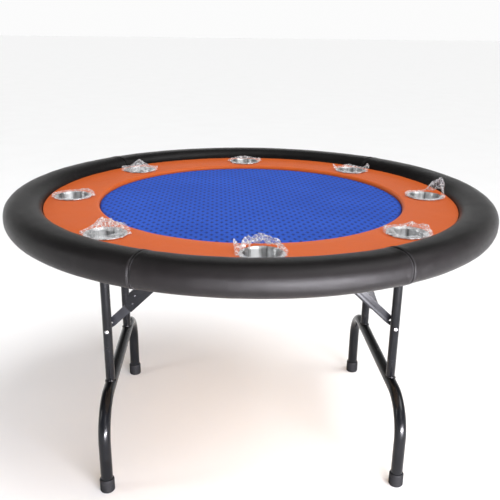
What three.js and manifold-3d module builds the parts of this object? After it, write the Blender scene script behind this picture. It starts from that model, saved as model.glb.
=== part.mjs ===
// A round folding poker table with a padded rail, a racetrack with eight cup holders and two folding leg frames.
// Millimetres, +Z up, origin on the floor under the middle of the table top. Both leg frames stand open.
import * as THREE from "three";
import { mergeVertices } from "three/addons/utils/BufferGeometryUtils.js";
import Module from "manifold-3d";

const wasm = await Module();
wasm.setup();

// Driving dimensions.
const gap = 0.3; // kept between pieces that touch
const ringSides = 48;
const cupSides = 16;
const holeSides = 16;

const rail = { inner: 561, outer: 660, top: 760, height: 75, power: 2.4, coverThickness: 2, flapRadius: 598 };
const coreRing = { inner: 575, outer: 630, height: 16.7 };
const baseBoard = { radius: 620, bottom: 690, thickness: 15 };
const racetrack = { inner: 417, outer: 560.5, top: 732, cover: 1.7, foam: 7.7, edgeRadius: 9 };
const playArea = { radius: 415.8, top: 723.1, cloth: 1, foam: 3 };
const cup = { count: 8, circle: 495, outer: 43.2, wall: 1.2, depth: 70, corner: 5, flangeRadius: 50, flange: 1.5 };
const cupHole = 44.5; // radius of the holes that the cups drop into

const frame = { x: 392, pivotHeight: 670, crossHeight: 240, bend: 100 };
const legTube = { y: 315, radius: 16, wall: 1.5, bottom: 8 };
const upright = { y: 174, radius: 12.5, wall: 1.5, crown: 10 };
const foot = { radius: 19.5, height: 38, clearance: 0.9, tread: 2, treadHeight: 3, lip: 1, lipHeight: 4 };
const hingeRod = { radius: 6, headRadius: 10, head: 4 };
const hingeBracket = { inside: 13.5, sheet: 3, earBottom: 655, earWidth: 40, padWidth: 76 };

const braceBolt = { height: 404, shank: 4, headRadius: 5.5, head: 3, spacerRadius: 6.5 };
const link = { width: 22, thickness: 3 };
// The lower link is a band above its own line, on a narrow neck that leads to its bolt.
const band = { low: -9, high: 15, start: 18, neck: 8, tabRadius: 6.5 };
const knee = { shank: 3.7, headRadius: 6, head: 2 };
const lockPlate = { start: 76, past: 28, up: 32, down: 11, thickness: 2.5, shoulder: 14, slope: 38 };
// What is cut from the plate's corners above and below the knee, as [along, up].
const plateCorners = { above: [14, 13], below: [17, 15] };
const plateRivet = { radius: 3.6, head: 2, places: [[97, 5], [118, 17]] }; // along and above the link's own line
const anchor = { reach: 282, rodRadius: 4, headRadius: 7, head: 2.7, earBottom: 658, width: 36, padDepth: 28 };
// Layers of a brace, as depths inward from the upright's inner side.
const depth = { outerPlate: 3.5, lowerLink: 6.3, innerPlate: 9.6, upperLink: 15, ear: 18.3 };

const drillPast = 5; // how far a drill runs past what it cuts
const boardTop = baseBoard.bottom + baseBoard.thickness;
const stackBottom = boardTop + gap;
const uprightInside = upright.y - upright.radius;

// The two links lie in one line when the leg stands, and lie along it when it is folded flat.
const boltDrop = frame.pivotHeight - braceBolt.height;
const braceLength = Math.hypot(anchor.reach, boltDrop);
const upperLength = (braceLength + anchor.reach - boltDrop) / 2;
const lowerLength = braceLength - upperLength;
const braceAngle = Math.atan2(boltDrop, anchor.reach);

const look = (color, roughness, metalness = 0) =>
  new THREE.MeshStandardMaterial({ color, roughness, metalness });
const looks = {
  plywood: look(0xb08a5c, 0.75),
  foam: look(0xd8d2c0, 0.95),
  railLeather: look(0x1f1c1d, 0.42),
  vinyl: look(0xd96f3c, 0.5),
  cloth: look(0x3a5fb8, 0.85),
  cupSteel: look(0xc9cbcd, 0.3, 1),
  blackPaint: look(0x17181b, 0.25, 0.4),
  zinc: look(0xb9bcc0, 0.4, 1),
  rubber: look(0x151515, 0.8),
};

// Solids and meshes.
function solidOf(geometry) {
  const position = (geometry.index ? geometry.toNonIndexed() : geometry).getAttribute("position");
  const merged = mergeVertices(new THREE.BufferGeometry().setAttribute("position", position), 1e-3);
  const build = (triVerts) =>
    new wasm.Manifold(
      new wasm.Mesh({ numProp: 3, vertProperties: merged.attributes.position.array, triVerts }),
    );
  const triangles = Uint32Array.from(merged.index.array);
  const solid = build(triangles);
  if (solid.volume() > 0) return solid;
  for (let i = 0; i < triangles.length; i += 3) {
    [triangles[i + 1], triangles[i + 2]] = [triangles[i + 2], triangles[i + 1]];
  }
  return build(triangles);
}

function meshOf(name, solid, material) {
  const { vertProperties, triVerts } = solid.getMesh();
  const geometry = new THREE.BufferGeometry();
  geometry.setAttribute("position", new THREE.BufferAttribute(new Float32Array(vertProperties), 3));
  geometry.setIndex(new THREE.BufferAttribute(new Uint32Array(triVerts), 1));
  geometry.computeVertexNormals();
  const mesh = new THREE.Mesh(geometry, material);
  mesh.name = name;
  return mesh;
}

// A closed outline of [radius, height] points turned about the Z axis.
function turned(outline, sides = ringSides) {
  const points = outline.map(([r, z]) => new THREE.Vector2(r, z));
  points.push(points[0].clone());
  return solidOf(new THREE.LatheGeometry(points, sides).rotateX(Math.PI / 2));
}

const disc = (radius, bottom, top, sides = ringSides) =>
  turned([[0, bottom], [radius, bottom], [radius, top], [0, top]], sides);

const boxRing = (inner, outer, bottom, top) =>
  turned([[inner, bottom], [outer, bottom], [outer, top], [inner, top]]);

// A turned piece whose axis lies along Y, from [radius, y] points.
const turnedAlongY = (outline, sides = 12) => turned(outline, sides).rotate([-90, 0, 0]);

const pinAlongY = (radius, from, to, sides = 12) =>
  turnedAlongY([[0, from], [radius, from], [radius, to], [0, to]], sides);

function boxFrom(low, high) {
  const size = high.map((v, i) => v - low[i]);
  const middle = high.map((v, i) => (v + low[i]) / 2);
  return solidOf(new THREE.BoxGeometry(...size).translate(...middle));
}

// A flat plate whose outline is in X and Z, between two values of Y.
function plate(shape, y0, y1) {
  const [low, high] = [Math.min(y0, y1), Math.max(y0, y1)];
  const flat = new THREE.ExtrudeGeometry(shape, { depth: high - low, bevelEnabled: false, curveSegments: 5 });
  return solidOf(flat.rotateX(Math.PI / 2).translate(0, high, 0));
}

// A point of the rail's rounded section, drawn in by inset; 0 degrees is outward, 90 is up.
function railPoint(degrees, inset) {
  const angle = THREE.MathUtils.degToRad(degrees);
  const bulge = (v) => Math.sign(v) * Math.abs(v) ** (2 / rail.power);
  const middle = (rail.inner + rail.outer) / 2;
  const halfWidth = (rail.outer - rail.inner) / 2 - inset;
  const halfHeight = rail.height / 2 - inset;
  return [
    middle + halfWidth * bulge(Math.cos(angle)),
    rail.top - rail.height / 2 + halfHeight * bulge(Math.sin(angle)),
  ];
}

// The section from the edge inside the racetrack, over the top and round to the underside.
function railArc(inset) {
  const [from, to, steps] = [203, -90, 10];
  return Array.from({ length: steps + 1 }, (_, i) => railPoint(from + ((to - from) * i) / steps, inset));
}

const root = new THREE.Group();

// Boards, pads and covers of the top.
function cupPlace(index) {
  const angle = -Math.PI / 2 + (index * 2 * Math.PI) / cup.count;
  return [cup.circle * Math.cos(angle), cup.circle * Math.sin(angle)];
}

function withCupHoles(solid) {
  let cut = solid;
  for (let i = 0; i < cup.count; i++) {
    const drill = disc(cupHole, baseBoard.bottom - drillPast, racetrack.top + drillPast, holeSides);
    cut = cut.subtract(drill.translate([...cupPlace(i), 0]));
  }
  return cut;
}

function buildBoards() {
  const playFoamTop = playArea.top - playArea.cloth - gap;
  const playBoardTop = playFoamTop - playArea.foam - gap;
  root.add(
    meshOf(
      "base_board",
      withCupHoles(disc(baseBoard.radius, baseBoard.bottom, boardTop)),
      looks.plywood,
    ),
    meshOf("play_board", disc(playArea.radius - 1, stackBottom, playBoardTop), looks.plywood),
    meshOf("play_foam", disc(playArea.radius - 1, playBoardTop + gap, playFoamTop), looks.foam),
    meshOf("play_cloth", disc(playArea.radius, playArea.top - playArea.cloth, playArea.top), looks.cloth),
  );
}

// The quarter round of the racetrack's inner edge, for a skin drawn in by inset.
function trackEdge(inset) {
  const radius = racetrack.edgeRadius - inset;
  const centre = [racetrack.inner + racetrack.edgeRadius, racetrack.top - racetrack.edgeRadius];
  return [0, 30, 60, 90].map((degrees) => {
    const a = THREE.MathUtils.degToRad(degrees);
    return [centre[0] - radius * Math.cos(a), centre[1] + radius * Math.sin(a)];
  });
}

function buildRacetrack() {
  const foamInset = racetrack.cover + gap;
  const foamTop = racetrack.top - foamInset;
  const foamBottom = foamTop - racetrack.foam;
  const boardInner = racetrack.inner + foamInset;
  const foamOutline = [[boardInner, foamBottom], ...trackEdge(foamInset), [racetrack.outer, foamTop]];
  foamOutline.push([racetrack.outer, foamBottom]);
  const skin = [[racetrack.inner, stackBottom], ...trackEdge(0), [racetrack.outer, racetrack.top]];
  const skinInside = [[racetrack.inner + racetrack.cover, stackBottom], ...trackEdge(racetrack.cover)];
  skinInside.push([racetrack.outer, racetrack.top - racetrack.cover]);
  root.add(
    meshOf(
      "racetrack_board",
      withCupHoles(boxRing(boardInner, racetrack.outer, stackBottom, foamBottom - gap)),
      looks.plywood,
    ),
    meshOf("racetrack_foam", withCupHoles(turned(foamOutline)), looks.foam),
    meshOf("racetrack_cover", withCupHoles(turned([...skin, ...skinInside.reverse()])), looks.vinyl),
  );
}

function buildRail() {
  const coreTop = stackBottom + coreRing.height;
  const foamInset = rail.coverThickness + gap;
  const foamOutline = railArc(foamInset).slice(0, -1);
  const foamEnd = foamOutline.at(-1)[1];
  foamOutline.push(
    [coreRing.outer + gap, foamEnd],
    [coreRing.outer + gap, coreTop + gap],
    [coreRing.inner - gap, coreTop + gap],
    [coreRing.inner - gap, stackBottom],
  );
  foamOutline[0][1] = stackBottom;
  const coverBottom = rail.top - rail.height;
  const outside = [...railArc(0), [rail.flapRadius, coverBottom]];
  const inside = railArc(rail.coverThickness);
  inside.push([rail.flapRadius, coverBottom + rail.coverThickness]);
  root.add(
    meshOf("rail_core", boxRing(coreRing.inner, coreRing.outer, stackBottom, coreTop), looks.plywood),
    meshOf("rail_foam", turned(foamOutline), looks.foam),
    meshOf("rail_cover", turned([...outside, ...inside.reverse()]), looks.railLeather),
  );
}

// A drop-in cup: a thin bowl with a flat flange that rests on the racetrack.
function buildCups() {
  const under = racetrack.top + gap;
  const floor = under + cup.flange - cup.depth;
  const { corner } = cup;
  const inner = cup.outer - cup.wall;
  const outline = [
    [0, floor],
    [cup.outer - corner, floor],
    [cup.outer, floor + corner],
    [cup.outer, under],
    [cup.flangeRadius, under],
    [cup.flangeRadius, under + cup.flange],
    [inner, under + cup.flange],
    [inner, floor + corner],
    [inner - corner, floor + cup.wall],
    [0, floor + cup.wall],
  ];
  for (let i = 0; i < cup.count; i++) {
    const mesh = meshOf(`cup_holder_${i + 1}`, turned(outline, cupSides), looks.cupSteel);
    mesh.position.set(...cupPlace(i), 0);
    root.add(mesh);
  }
}

// A round tube along a path.
function tube(path, radius, wall, steps, sides) {
  const section = new THREE.Shape().absarc(0, 0, radius, 0, 2 * Math.PI);
  section.holes.push(new THREE.Path().absarc(0, 0, radius - wall, 0, 2 * Math.PI, true));
  return solidOf(
    new THREE.ExtrudeGeometry(section, { steps, extrudePath: path, curveSegments: sides, bevelEnabled: false }),
  );
}

// A quarter bend in the YZ plane, from one angle in degrees to another.
class Bend extends THREE.Curve {
  constructor(y, z, radius, from, to) {
    super();
    Object.assign(this, { y, z, radius, from, to });
  }

  getPoint(t, target = new THREE.Vector3()) {
    const angle = THREE.MathUtils.degToRad(this.from + (this.to - this.from) * t);
    return target.set(0, this.y + this.radius * Math.cos(angle), this.z + this.radius * Math.sin(angle));
  }
}

// The wishbone: two legs joined over two round bends by a cross tube.
function wishbonePath() {
  const { y, bottom } = legTube;
  const { bend, crossHeight } = frame;
  const start = y - bend;
  const low = crossHeight - bend;
  const path = new THREE.CurvePath();
  const line = (y0, z0, y1, z1) =>
    new THREE.LineCurve3(new THREE.Vector3(0, y0, z0), new THREE.Vector3(0, y1, z1));
  path.add(line(-y, bottom, -y, low));
  path.add(new Bend(-start, low, bend, 180, 90));
  path.add(line(-start, crossHeight, start, crossHeight));
  path.add(new Bend(start, low, bend, 90, 0));
  path.add(line(y, low, y, bottom));
  return path;
}

function uprightSolid() {
  const bottom = frame.crossHeight;
  const top = frame.pivotHeight + upright.crown;
  const path = new THREE.LineCurve3(new THREE.Vector3(0, 0, bottom), new THREE.Vector3(0, 0, top));
  const reach = upright.radius + drillPast;
  const saddle = pinAlongY(legTube.radius + gap, -reach, reach, 20);
  const hole = (radius, z) => pinAlongY(radius, -reach, reach).translate([0, 0, z]);
  return tube(path, upright.radius, upright.wall, 1, 6)
    .subtract(saddle.translate([0, 0, frame.crossHeight]))
    .subtract(hole(hingeRod.radius + gap, frame.pivotHeight))
    .subtract(hole(braceBolt.shank + gap, braceBolt.height));
}

function footSolid() {
  const bore = legTube.radius + foot.clearance;
  const floor = legTube.bottom - gap;
  return turned(
    [
      [0, 0],
      [foot.radius - foot.tread, 0],
      [foot.radius, foot.treadHeight],
      [foot.radius, foot.height - foot.lipHeight],
      [foot.radius - foot.lip, foot.height],
      [bore, foot.height],
      [bore, floor],
      [0, floor],
    ],
    12,
  );
}

function rodWithHeads(radius, headRadius, headFrom, headTo) {
  return turnedAlongY([
    [0, -headTo],
    [headRadius, -headTo],
    [headRadius, -headFrom],
    [radius, -headFrom],
    [radius, headFrom],
    [headRadius, headFrom],
    [headRadius, headTo],
    [0, headTo],
  ]);
}

// Two ears on either side of the upright, under a pad that is screwed to the base board.
function hingeBracketSolid() {
  const { inside, sheet, earBottom, earWidth, padWidth } = hingeBracket;
  const outside = inside + sheet;
  const top = baseBoard.bottom - gap;
  const padBottom = top - sheet;
  const ears = boxFrom([-earWidth / 2, -outside, earBottom], [earWidth / 2, outside, top]).subtract(
    boxFrom([-earWidth, -inside, earBottom - drillPast], [earWidth, inside, padBottom]),
  );
  const pad = boxFrom([-padWidth / 2, -outside, padBottom], [padWidth / 2, outside, top]);
  const hole = pinAlongY(hingeRod.radius + gap, -outside - drillPast, outside + drillPast);
  return ears.add(pad).subtract(hole.translate([0, 0, frame.pivotHeight]));
}

// One ear beside the upper link, with a pad turned towards the middle of the table.
function braceBracketSolid(side) {
  const ear = uprightInside - depth.ear;
  const earInside = ear - link.thickness;
  const top = baseBoard.bottom - gap;
  const box = (ySmall, yLarge, z0) => {
    const ys = [side * ySmall, side * yLarge].sort((a, b) => a - b);
    return boxFrom([-anchor.width / 2, ys[0], z0], [anchor.width / 2, ys[1], top]);
  };
  const hole = pinAlongY(anchor.rodRadius + gap, -upright.y, upright.y);
  return box(earInside, ear, anchor.earBottom)
    .add(box(ear - anchor.padDepth, ear, top - link.thickness))
    .subtract(hole.translate([0, 0, frame.pivotHeight]));
}

function withHoles(shape, length, holeRadius) {
  [0, length].forEach((x) => {
    shape.holes.push(new THREE.Path().absarc(x, 0, holeRadius, 0, 2 * Math.PI, true));
  });
  return shape;
}

// A link with a hole at each end, lying along X from its first hole.
function upperLinkShape() {
  const half = link.width / 2;
  const shape = new THREE.Shape();
  shape.absarc(upperLength, 0, half, -Math.PI / 2, Math.PI / 2);
  shape.absarc(0, 0, half, Math.PI / 2, (3 * Math.PI) / 2);
  return withHoles(shape, upperLength, anchor.rodRadius + gap);
}

function lowerLinkShape() {
  const { low, high, start, neck, tabRadius } = band;
  const shape = new THREE.Shape();
  shape.moveTo(start, low);
  shape.absarc(lowerLength, (low + high) / 2, (high - low) / 2, -Math.PI / 2, Math.PI / 2);
  shape.lineTo(start, high);
  shape.lineTo(start, low + neck);
  shape.absarc(0, 0, tabRadius, Math.PI / 2, (3 * Math.PI) / 2);
  return withHoles(shape, lowerLength, braceBolt.shank + gap);
}

// The corner below the knee is cut so that it passes under the base board as the leg folds.
function lockPlateShape() {
  const { start, past, up, down, shoulder, slope } = lockPlate;
  const { above, below } = plateCorners;
  const end = lowerLength + past;
  const shape = new THREE.Shape();
  shape.moveTo(start, -down);
  shape.lineTo(end - below[0], -down);
  shape.lineTo(end, below[1] - down);
  shape.lineTo(end, up - above[1]);
  shape.lineTo(end - above[0], up);
  shape.lineTo(start + slope, up);
  shape.lineTo(start, shoulder);
  shape.holes.push(new THREE.Path().absarc(lowerLength, 0, knee.shank + gap, 0, 2 * Math.PI, true));
  return shape;
}

// The Y of a depth measured inward from the upright.
const inY = (side, inward) => side * (uprightInside - inward);

// A stepped pin through the brace, from [radius, from, to] steps between two depths.
function bracePin(side, steps) {
  const outline = [[0, steps[0][1]]];
  steps.forEach(([radius, from, to]) => outline.push([radius, from], [radius, to]));
  outline.push([0, steps.at(-1)[2]]);
  return turnedAlongY(outline.map(([radius, inward]) => [radius, inY(side, inward)]), 10);
}

// One folding brace: its links lie from the bolt on the upright up to the anchor rod under the board.
// At one end of a frame the lock plate is on the upright's side of the lower link, and at the other on the far side.
function buildBrace(group, suffix, side, plateOutside) {
  const plateAt = plateOutside ? depth.outerPlate : depth.innerPlate;
  const plateEnd = plateAt + lockPlate.thickness;
  const linkEnd = depth.lowerLink + link.thickness;
  const stack = plateOutside ? [plateAt, linkEnd] : [depth.lowerLink, plateEnd];
  const sitsAt = (mesh, x, z, angle) => {
    mesh.position.set(x, 0, z);
    mesh.rotation.y = angle;
    group.add(mesh);
  };
  const lower = plate(lowerLinkShape(), inY(side, depth.lowerLink), inY(side, linkEnd));
  sitsAt(meshOf(`lower_link_${suffix}`, lower, looks.zinc), -frame.x, braceBolt.height, -braceAngle);

  let cover = plate(lockPlateShape(), inY(side, plateAt), inY(side, plateEnd));
  const headFrom = plateOutside ? plateAt - plateRivet.head : plateEnd;
  plateRivet.places.forEach(([along, up]) => {
    const head = bracePin(side, [[plateRivet.radius, headFrom, headFrom + plateRivet.head]]);
    cover = cover.add(head.translate([along, 0, up]));
  });
  sitsAt(meshOf(`lock_plate_${suffix}`, cover, looks.blackPaint), -frame.x, braceBolt.height, -braceAngle);

  const rivet = bracePin(side, [
    [knee.headRadius, stack[0] - gap - knee.head, stack[0] - gap],
    [knee.shank, stack[0] - gap, stack[1] + gap],
    [knee.headRadius, stack[1] + gap, stack[1] + gap + knee.head],
  ]).translate([lowerLength, 0, 0]);
  sitsAt(meshOf(`knee_rivet_${suffix}`, rivet, looks.zinc), -frame.x, braceBolt.height, -braceAngle);

  const upperEnd = depth.upperLink + link.thickness;
  const upper = plate(upperLinkShape(), inY(side, depth.upperLink), inY(side, upperEnd));
  const anchorX = anchor.reach - frame.x;
  sitsAt(meshOf(`upper_link_${suffix}`, upper, looks.zinc), anchorX, frame.pivotHeight, Math.PI - braceAngle);

  const far = -2 * upright.radius - gap;
  const bolt = bracePin(side, [
    [braceBolt.headRadius, far - braceBolt.head, far],
    [braceBolt.shank, far, gap],
    [braceBolt.spacerRadius, gap, depth.lowerLink - gap],
    [braceBolt.shank, depth.lowerLink - gap, linkEnd + gap],
    [braceBolt.spacerRadius, linkEnd + gap, linkEnd + gap + knee.head],
  ]);
  sitsAt(meshOf(`brace_bolt_${suffix}`, bolt, looks.zinc), -frame.x, braceBolt.height, 0);

  const bracket = meshOf(`brace_bracket_${suffix}`, braceBracketSolid(side), looks.blackPaint);
  sitsAt(bracket, anchorX, 0, 0);
}

// One leg frame at the left end, or the same frame turned half round for the right end.
function buildLegFrame(end, turn) {
  const group = new THREE.Group();
  group.rotation.z = turn;
  const ends = turn === 0 ? ["front", "back"] : ["back", "front"];
  const wishbone = meshOf(
    `leg_tube_${end}`,
    tube(wishbonePath(), legTube.radius, legTube.wall, 30, 5),
    looks.blackPaint,
  );
  wishbone.position.x = -frame.x;
  group.add(wishbone);
  [-1, 1].forEach((side, i) => {
    const suffix = `${end}_${ends[i]}`;
    const pieces = [
      [meshOf(`upright_${suffix}`, uprightSolid(), looks.blackPaint), upright.y],
      [meshOf(`foot_${suffix}`, footSolid(), looks.rubber), legTube.y],
      [meshOf(`hinge_bracket_${suffix}`, hingeBracketSolid(), looks.blackPaint), upright.y],
    ];
    pieces.forEach(([mesh, y]) => {
      mesh.position.set(-frame.x, side * y, 0);
      group.add(mesh);
    });
    buildBrace(group, suffix, side, side < 0);
  });
  const bracketOutside = upright.y + hingeBracket.inside + hingeBracket.sheet + gap;
  const rod = rodWithHeads(
    hingeRod.radius,
    hingeRod.headRadius,
    bracketOutside,
    bracketOutside + hingeRod.head,
  );
  const hinge = meshOf(`hinge_rod_${end}`, rod, looks.zinc);
  hinge.position.set(-frame.x, 0, frame.pivotHeight);
  const linkFace = uprightInside - depth.upperLink + gap;
  const braceRod = rodWithHeads(anchor.rodRadius, anchor.headRadius, linkFace, linkFace + anchor.head);
  const anchorPin = meshOf(`brace_rod_${end}`, braceRod, looks.zinc);
  anchorPin.position.set(anchor.reach - frame.x, 0, frame.pivotHeight);
  group.add(hinge, anchorPin);
  root.add(group);
}

buildBoards();
buildRacetrack();
buildRail();
buildCups();
buildLegFrame("left", 0);
buildLegFrame("right", Math.PI);

export default root;
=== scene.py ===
import math

import bmesh
import bpy
import numpy as np
from mathutils import Matrix, Vector, noise


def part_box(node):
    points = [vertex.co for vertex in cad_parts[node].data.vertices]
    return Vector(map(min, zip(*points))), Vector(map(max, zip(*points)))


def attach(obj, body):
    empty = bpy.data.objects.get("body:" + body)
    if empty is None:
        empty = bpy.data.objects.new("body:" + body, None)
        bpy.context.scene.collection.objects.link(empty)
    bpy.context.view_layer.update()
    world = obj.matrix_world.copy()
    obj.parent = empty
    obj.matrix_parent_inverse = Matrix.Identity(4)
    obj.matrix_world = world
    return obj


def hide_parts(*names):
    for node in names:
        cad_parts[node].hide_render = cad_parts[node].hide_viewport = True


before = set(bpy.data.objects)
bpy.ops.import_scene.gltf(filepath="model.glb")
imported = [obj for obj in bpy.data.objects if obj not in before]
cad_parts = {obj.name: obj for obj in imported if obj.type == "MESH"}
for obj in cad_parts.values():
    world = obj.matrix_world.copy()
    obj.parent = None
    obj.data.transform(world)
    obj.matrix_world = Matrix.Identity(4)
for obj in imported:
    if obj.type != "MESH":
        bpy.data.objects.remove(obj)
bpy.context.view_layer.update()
scene = bpy.context.scene
ends = ("left", "right")
rows = ("front", "back")
mm = 0.001
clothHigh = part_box("play_cloth")[1]


# Mesh helpers

def meshFrom(name, points, faces):
    mesh = bpy.data.meshes.new(name)
    mesh.from_pydata([tuple(p) for p in points], [], faces)
    mesh.update()
    return mesh


def addPiece(name, mesh, material, body, crease=None):
    piece = bpy.data.objects.new(name, mesh)
    scene.collection.objects.link(piece)
    mesh.materials.clear()
    mesh.materials.append(material)
    mesh.polygons.foreach_set("use_smooth", [True] * len(mesh.polygons))
    if crease is not None:  # smooth faces, crisp where the faces meet at more than this many degrees
        mesh.set_sharp_from_angle(angle=math.radians(crease))
    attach(piece, body)
    return piece


def faceOutward(mesh):
    bm = bmesh.new()
    bm.from_mesh(mesh)
    bmesh.ops.remove_doubles(bm, verts=bm.verts, dist=1e-6)
    bmesh.ops.recalc_face_normals(bm, faces=bm.faces)
    bm.to_mesh(mesh)
    bm.free()
    return mesh


def gridFaces(rowCount, columnCount, closeColumns=False):
    faces = []
    for i in range(rowCount - 1):
        for j in range(columnCount if closeColumns else columnCount - 1):
            a, b, k = i * columnCount, (i + 1) * columnCount, (j + 1) % columnCount
            faces.append((a + j, b + j, b + k, a + k))
    return faces


def filleted(corners, radius, steps=4, closed=False):
    # the same outline with each inner corner rounded
    out = []
    count = len(corners)
    for i, here in enumerate(corners):
        here = Vector(here)
        if not closed and i in (0, count - 1):
            out.append(here)
            continue
        before, after = Vector(corners[i - 1]), Vector(corners[(i + 1) % count])
        toBefore, toAfter = before - here, after - here
        turn = toBefore.angle(toAfter, math.pi)
        if turn > math.radians(172):
            out.append(here)
            continue
        reach = min(radius / math.tan(turn / 2), toBefore.length * 0.49, toAfter.length * 0.49)
        start, end = here + toBefore.normalized() * reach, here + toAfter.normalized() * reach
        for k in range(steps + 1):
            t = k / steps
            out.append(start * (1 - t) ** 2 + here * 2 * t * (1 - t) + end * t ** 2)
    return out


def latheMesh(name, profile, sides):
    points, rings, faces = [], [], []
    for radius, height in profile:
        first = len(points)
        if radius < 1e-7:
            points.append((0, 0, height))
            rings.append([first] * sides)
            continue
        for k in range(sides):
            angle = 2 * math.pi * k / sides
            points.append((radius * math.cos(angle), radius * math.sin(angle), height))
        rings.append(list(range(first, first + sides)))
    for low, high in zip(rings, rings[1:]):
        for k in range(sides):
            corner = [low[k], low[(k + 1) % sides], high[(k + 1) % sides], high[k]]
            face = list(dict.fromkeys(corner))
            if len(face) > 2:
                faces.append(face)
    return faceOutward(meshFrom(name, points, faces))


def moved(mesh, offset=(0, 0, 0), rotation=None):
    matrix = Matrix.Translation(Vector(offset))
    mesh.transform(matrix @ rotation if rotation is not None else matrix)
    return mesh


alongY = Matrix.Rotation(math.radians(-90), 4, "X")  # a turned piece's axis laid along +Y


def tubeMesh(name, path, radius, sides=28, closedPath=False):
    # a round tube swept along points without twisting; radius is one number or one for each point
    path = [Vector(p) for p in path]
    count = len(path)
    radii = radius if hasattr(radius, "__len__") else [radius] * count
    points = []
    side = None
    for i, here in enumerate(path):
        before = path[i - 1] if i or closedPath else here
        after = path[(i + 1) % count] if i < count - 1 or closedPath else here
        ahead = (after - before).normalized()
        if side is None:
            side = ahead.orthogonal().normalized()
        side = (side - ahead * side.dot(ahead)).normalized()
        up = ahead.cross(side)
        for k in range(sides):
            angle = 2 * math.pi * k / sides
            points.append(here + (side * math.cos(angle) + up * math.sin(angle)) * radii[i])
    faces = gridFaces(count, sides, closeColumns=True)
    if closedPath:
        last = (count - 1) * sides
        faces += [(last + k, k, (k + 1) % sides, last + (k + 1) % sides) for k in range(sides)]
    else:
        faces += [tuple(range(sides)), tuple(range((count - 1) * sides, count * sides))]
    return faceOutward(meshFrom(name, points, faces))


def joinedMesh(name, meshes):
    points, faces = [], []
    for mesh in meshes:
        start = len(points)
        points += [v.co.copy() for v in mesh.vertices]
        faces += [[start + i for i in p.vertices] for p in mesh.polygons]
        bpy.data.meshes.remove(mesh)
    return meshFrom(name, points, faces)


def sheetMetal(name, outline, holes, thickness, edge, matrix):
    # a flat plate with round holes and softly rounded edges, cut in its own XY plane
    curve = bpy.data.curves.new(name, "CURVE")
    curve.dimensions = "2D"
    curve.fill_mode = "BOTH"
    curve.extrude = thickness / 2 - edge
    curve.bevel_depth = edge
    curve.bevel_resolution = 2
    curve.offset = -edge
    loops = [outline]
    for x, y, radius in holes:
        angles = [2 * math.pi * k / 24 for k in range(24)]
        loops.append([(x + radius * math.cos(a), y + radius * math.sin(a)) for a in angles])
    for loop in loops:
        spline = curve.splines.new("POLY")
        spline.points.add(len(loop) - 1)
        for point, place in zip(spline.points, loop):
            point.co = (place[0], place[1], 0, 1)
        spline.use_cyclic_u = True
    holder = bpy.data.objects.new(name, curve)
    scene.collection.objects.link(holder)
    shape = holder.evaluated_get(bpy.context.evaluated_depsgraph_get())
    mesh = bpy.data.meshes.new_from_object(shape)
    bpy.data.objects.remove(holder)
    bpy.data.curves.remove(curve)
    mesh.transform(matrix)
    return faceOutward(mesh)


def arcPoints(centre, radius, start, end, steps):
    angles = [math.radians(start + (end - start) * k / steps) for k in range(steps + 1)]
    return [(centre[0] + radius * math.cos(a), centre[1] + radius * math.sin(a)) for a in angles]


# Material helpers

def newMaterial(name, colour, roughness, metallic=0.0, **sockets):
    material = bpy.data.materials.new(name)
    material.use_nodes = True
    tree = material.node_tree
    shader = tree.nodes["Principled BSDF"]
    shader.inputs["Base Color"].default_value = (*colour, 1)
    shader.inputs["Roughness"].default_value = roughness
    shader.inputs["Metallic"].default_value = metallic
    for socketName, value in sockets.items():
        shader.inputs[socketName.replace("_", " ")].default_value = value
    return material, tree, shader


def addNode(tree, kind, inputs=None, **settings):
    made = tree.nodes.new(kind)
    for key, value in settings.items():
        setattr(made, key, value)
    for key, value in (inputs or {}).items():
        if isinstance(value, bpy.types.NodeSocket):
            tree.links.new(value, made.inputs[key])
        else:
            made.inputs[key].default_value = value
    return made


def calc(tree, operation, a, b=0.0, c=0.0, clamp=False):
    inputs = {0: a, 1: b}
    if operation in ("MULTIPLY_ADD", "SMOOTH_MIN", "SMOOTH_MAX", "COMPARE", "WRAP"):
        inputs[2] = c
    return addNode(tree, "ShaderNodeMath", inputs, operation=operation, use_clamp=clamp).outputs[0]


def ramp(tree, value, stops):
    made = addNode(tree, "ShaderNodeValToRGB", {"Fac": value})
    elements = made.color_ramp.elements
    while len(elements) < len(stops):
        elements.new(0.5)
    for element, (place, colour) in zip(elements, stops):
        element.position = place
        element.color = (*colour, 1) if hasattr(colour, "__len__") else (colour, colour, colour, 1)
    return made.outputs["Color"]


def place(tree):
    return addNode(tree, "ShaderNodeTexCoord").outputs["Object"]


def noiseAt(tree, where, scale, detail=3.0, roughness=0.55, distortion=0.0):
    inputs = {"Vector": where, "Scale": scale, "Detail": detail}
    inputs.update({"Roughness": roughness, "Distortion": distortion})
    return addNode(tree, "ShaderNodeTexNoise", inputs).outputs["Fac"]


def remap(tree, value, low, high, newLow, newHigh):
    inputs = {"Value": value, "From Min": low, "From Max": high, "To Min": newLow, "To Max": newHigh}
    return addNode(tree, "ShaderNodeMapRange", inputs).outputs["Result"]


def addBump(tree, shader, height, strength, distance):
    inputs = {"Height": height, "Strength": strength, "Distance": distance}
    if shader.inputs["Normal"].is_linked:
        inputs["Normal"] = shader.inputs["Normal"].links[0].from_socket
    bump = addNode(tree, "ShaderNodeBump", inputs)
    tree.links.new(bump.outputs["Normal"], shader.inputs["Normal"])


def feed(tree, shader, socketName, value):
    tree.links.new(value, shader.inputs[socketName])


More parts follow.
